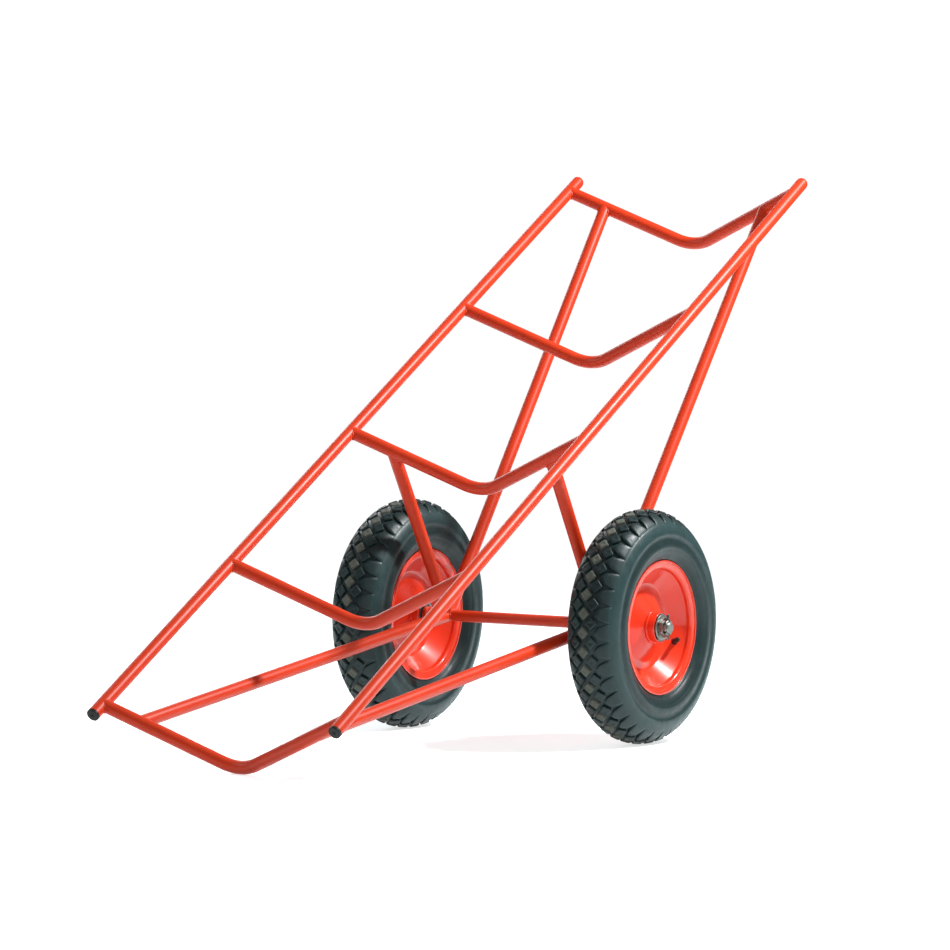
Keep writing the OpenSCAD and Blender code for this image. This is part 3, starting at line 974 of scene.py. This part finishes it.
def crown_point(a, q, depth):
    """A point of the tread: a is the distance round, q the distance across, from the crown line."""
    turn, lean = a / wheel_r, q / crown_r
    r = wheel_r - crown_r + (crown_r - depth) * cos(lean)
    x = (crown_r - depth) * sin(lean)
    return Vector((x, r * cos(turn), r * sin(turn)))


def section_reach(lean):
    """Distance from the crown's centre to the tyre's round section, at a lean from the crown line."""
    offset = crown_r - section_r
    return offset * cos(lean) + sqrt(section_r ** 2 - (offset * sin(lean)) ** 2)


def ease(x, start, end):
    """Rises smoothly from 0 at the start to 1 at the end."""
    t = min(max((x - start) / (end - start), 0), 1)
    return t * t * (3 - 2 * t)


def carcass_half():
    """Outside of the tyre from the crown line to the bead, as (radius, x). The floor of the
    tread rises to the shoulder, so that the notches between the lugs run out there."""
    shoulder_start, shoulder_end = radians(37), radians(54)
    line = []
    for i in range(28):
        lean = radians(2.5 * i)
        rise = ease(lean, shoulder_start, shoulder_end)
        reach = (crown_r - tread_depth) * (1 - rise) + (section_reach(lean) - 0.3 * MM) * rise
        line.append((wheel_r - crown_r + reach * cos(lean), reach * sin(lean)))
    hollow_ring = [(160, 48.2), (157.5, 48.0), (155.4, 47.2), (151.5, 46.8), (148.2, 47.3), (145.8, 48.5)]
    sidewall = [(141.5, 49.3), (137, 49.4), (133.6, 48.7), (132.6, 47.6), (131.4, 47.3), (128, 46.0)]
    bead_ribs = [(124.5, 43.9), (121.6, 42.3), (120.2, 40.6), (118.6, 39.6), (116.6, 38.6), (115.2, 36.6)]
    bead_foot = [(114.6, 35.0), (112.6, 34.3), (108, 34.0), (103, 33.6), (101.8, 31.5)]
    return line + in_mm(hollow_ring + sidewall + bead_ribs + bead_foot)


def in_mm(line):
    """An outline that was given in millimetres."""
    return [(r * MM, x * MM) for r, x in line]


def carcass():
    """The tyre without its tread blocks, hollow for the inner tube."""
    cavity = in_mm([(101.8, 25), (118, 25.2), (126, 36), (148, 43), (170, 36), (186, 18)])
    half = carcass_half() + cavity
    outline = half + [(191 * MM, 0)] + [(r, -x) for r, x in half[:0:-1]]
    return spun(outline, pitches * 6)


def softened(corners, radius=1.6 * MM, step=5 * MM):
    """A convex outline with rounded corners and extra points along its sides."""
    count = len(corners)
    made = []
    for i in range(count):
        a, b, c = (Vector(corners[(i + k) % count]) for k in (-1, 0, 1))
        reach = min(radius, (a - b).length / 3, (c - b).length / 3)
        start, end = b + (a - b).normalized() * reach, b + (c - b).normalized() * reach
        for t in (0, 0.33, 0.67, 1):
            made.append(start * (1 - t) ** 2 + b * 2 * t * (1 - t) + end * t * t)
        d = Vector(corners[(i + 2) % count])
        following = c + (b - c).normalized() * min(radius, (b - c).length / 3, (d - c).length / 3)
        gaps = ceil((following - end).length / step)
        made += [end.lerp(following, k / gaps) for k in range(1, gaps)]
    return made


def inset(outline, d):
    """The outline moved inwards by d."""
    count = len(outline)
    centre = sum(outline, Vector((0, 0))) / count
    made = []
    for i in range(count):
        run = (outline[(i + 1) % count] - outline[i - 1]).normalized()
        inwards = Vector((-run.y, run.x))
        if inwards.dot(centre - outline[i]) < 0:
            inwards = -inwards
        made.append(outline[i] + inwards * d)
    return made


def block(outline, top, dimple=0.0):
    """A tread block over an outline of (round, across). top(q) is how far its top is sunk."""
    root = tread_depth + 1.2 * MM
    foot = inset(outline, -1.0 * MM)
    rings = [[crown_point(p.x, p.y, root) for p in foot]]
    for d, drop in ((-0.25 * MM, 1.0 * MM), (0.15 * MM, 0.35 * MM), (0.75 * MM, 0)):
        line = inset(outline, d)
        rings.append([crown_point(p.x, p.y, top(p.y) + drop) for p in line])
    centre = sum(outline, Vector((0, 0))) / len(outline)
    for scale, sink in ((0.62, 0), (0.34, 0), (0.24, dimple), (0.06, dimple)):
        line = [centre + (p - centre) * scale for p in outline]
        rings.append([crown_point(p.x, p.y, top(p.y) + sink) for p in line])
    return rings_mesh(rings)


def flat_top(_):
    """The middle blocks follow the crown."""
    return top_sink


def lug_top(q):
    """The shoulder lugs follow the tyre's round section and then sink into it."""
    lean = abs(q) / crown_r
    fall = max(0, (lean - radians(48)) / radians(14))
    return crown_r - section_reach(lean) + top_sink + 1.6 * MM * fall


def diamond(a, q, half_round, half_across):
    """Outline of a diamond block."""
    return softened([(a + half_round, q), (a, q + half_across), (a - half_round, q), (a, q - half_across)])


def lug(a, s):
    """A shoulder lug: narrow between the diamonds and widest on the shoulder."""
    half = [(2.6, 21.5), (9.6, 27.5), (12.8, 37), (15.4, 46), (16.3, 52), (16.3, 59)]
    right = [(a + w * MM, s * q * MM) for w, q in half]
    left = [(a - w * MM, s * q * MM) for w, q in reversed(half)]
    return softened(right + left, 1.6 * MM, 6 * MM)


def build_tyre(side):
    """Carcass, dusty diamonds on the crown line, dark diamonds beside them and shoulder lugs."""
    dimple = 0.5 * MM
    crown_blocks, other_blocks = [], []
    for i in range(pitches):
        a = i * pitch
        crown_blocks.append(block(diamond(a, 0, 10.6 * MM, 10.2 * MM), flat_top, dimple))
        for s in (-1, 1):
            beside = diamond(a + pitch / 2, s * 15.4 * MM, 11.4 * MM, 10.8 * MM)
            other_blocks.append(block(beside, flat_top, dimple))
            other_blocks.append(block(lug(a, s), lug_top))
    plain = joined(carcass(), *other_blocks)
    dusty = joined(*crown_blocks)
    points, faces = wheel_part(joined(plain, dusty), side)
    tyre = make_piece(f"{side}_tread_tyre", points, faces, RUBBER, f"{side}_wheel",
                      [f"{side}_tyre"], 38)
    tyre.data.materials.append(DUSTY)
    first_dusty = len(plain[1])
    for polygon in tyre.data.polygons[first_dusty:]:
        polygon.material_index = 1


# ---- CAD nodes that stay ----


def finish_hidden_parts():
    """Sealed inner parts keep their CAD shape and get a worked material."""
    for side in SIDES:
        for part, material in (("inner_races", GROUND_STEEL), ("outer_races", GROUND_STEEL),
                               ("bearing_balls", GROUND_STEEL), ("bearing_cages", CAGE_STEEL),
                               ("distance_tube", ZINC), ("inner_tube", SOFT_RUBBER)):
            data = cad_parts[f"{side}_{part}"].data
            data.materials.clear()
            data.materials.append(material)


# ---- Stage ----


def build_floor():
    """A flat sheet of paper on the ground, wider than the picture."""
    across_floor, front, back = 6.0, -9.0, 3.2
    mesh = bpy.data.meshes.new("floor")
    mesh.from_pydata([(-across_floor, front, 0), (across_floor, front, 0), (across_floor, back, 0),
                      (-across_floor, back, 0)], [], [(0, 1, 2, 3)])
    mesh.materials.append(white_floor("studio_paper"))
    floor = bpy.data.objects.new("floor", mesh)
    bpy.context.scene.collection.objects.link(floor)


def softbox(name, place, target, size, power):
    """A rectangular area light that looks at a target."""
    light = bpy.data.lights.new(name, "AREA")
    light.shape = "RECTANGLE"
    light.size, light.size_y = size
    light.energy = power
    lamp = bpy.data.objects.new(name, light)
    lamp.location = place
    lamp.rotation_mode = "QUATERNION"
    lamp.rotation_quaternion = (Vector(target) - Vector(place)).to_track_quat("-Z", "Y")
    bpy.context.scene.collection.objects.link(lamp)


def build_lights():
    """One small lamp for the bright highlights, and three wide soft ones."""
    softbox("overhead", (2.05, 1.35, 2.9), (0.1, 0, 0.3), (0.36, 0.36), 185)
    softbox("back_left", (-3.2, 2.3, 2.1), (0, 0, 0.5), (2.2, 2.2), 44)
    softbox("key_left", (-3.4, -2.6, 2.8), (0, 0, 0.4), (1.8, 2.0), 40)
    softbox("fill_right", (3.4, -3.4, 1.7), (0, 0, 0.4), (2.0, 1.8), 20)


def build_world():
    """White behind the object, and a dim studio all round for the reflections."""
    world = bpy.data.worlds.new("studio")
    bpy.context.scene.world = world
    world.use_nodes = True
    tree = world.node_tree
    tree.nodes.clear()
    out = tree.nodes.new("ShaderNodeOutputWorld")
    place = tree.nodes.new("ShaderNodeTexCoord")
    height = tree.nodes.new("ShaderNodeSeparateXYZ")
    ramp = tree.nodes.new("ShaderNodeValToRGB")
    stops = ((0.0, 0.24), (0.48, 0.15), (0.52, 0.13), (0.75, 0.19), (1.0, 0.30))
    while len(ramp.color_ramp.elements) < len(stops):
        ramp.color_ramp.elements.new(0.5)
    for element, (at, grey) in zip(ramp.color_ramp.elements, stops):
        element.position = at
        element.color = (grey, grey, grey * 1.02, 1)
    shift = tree.nodes.new("ShaderNodeMapRange")
    shift.inputs["From Min"].default_value = -1
    dim = tree.nodes.new("ShaderNodeBackground")
    white = tree.nodes.new("ShaderNodeBackground")
    white.inputs["Color"].default_value = (1, 1, 1, 1)
    white.inputs["Strength"].default_value = 1.05
    path = tree.nodes.new("ShaderNodeLightPath")
    mix = tree.nodes.new("ShaderNodeMixShader")
    tree.links.new(place.outputs["Generated"], height.inputs["Vector"])
    tree.links.new(height.outputs["Z"], shift.inputs["Value"])
    tree.links.new(shift.outputs["Result"], ramp.inputs["Fac"])
    tree.links.new(ramp.outputs["Color"], dim.inputs["Color"])
    tree.links.new(path.outputs["Is Camera Ray"], mix.inputs["Fac"])
    tree.links.new(dim.outputs["Background"], mix.inputs[1])
    tree.links.new(white.outputs["Background"], mix.inputs[2])
    tree.links.new(mix.outputs["Shader"], out.inputs["Surface"])


def build_camera():
    """A long lens from the front right, a little above the deck's low end."""
    look_at = Vector((0.0139, wheel_centre.y - 0.18545, 0.4557))
    yaw, elevation, roll = radians(32.417), radians(2.605), radians(0.694)
    distance = 8.997
    data = bpy.data.cameras.new("camera")
    data.lens = 201.85
    data.sensor_width = 36
    data.clip_end = 60
    camera = bpy.data.objects.new("camera", data)
    turn = (Matrix.Rotation(yaw, 4, "Z") @ Matrix.Rotation(pi / 2 - elevation, 4, "X")
            @ Matrix.Rotation(roll, 4, "Z"))
    camera.matrix_world = Matrix.Translation(look_at) @ turn @ Matrix.Translation((0, 0, distance))
    bpy.context.scene.collection.objects.link(camera)
    bpy.context.scene.camera = camera


build_camera()
build_floor()
build_lights()
build_world()
for side in SIDES:
    build_rail(side)
    build_dome(side)
    build_plug(side)
    for kind in strut_head_x:
        build_strut(kind, side)
    build_collar(side)
    build_washer(side)
    build_nut(side)
    build_split_pin(side)
    build_rim_half(side, "outer")
    build_rim_half(side, "inner")
    build_hub(side)
    build_seals(side)
    build_valve(side)
    build_tyre(side)
for n in range(1, 6):
    build_saddle(f"saddle_{n}")
build_axle()
finish_hidden_parts()

bpy.context.scene.view_settings.view_transform = "Standard"
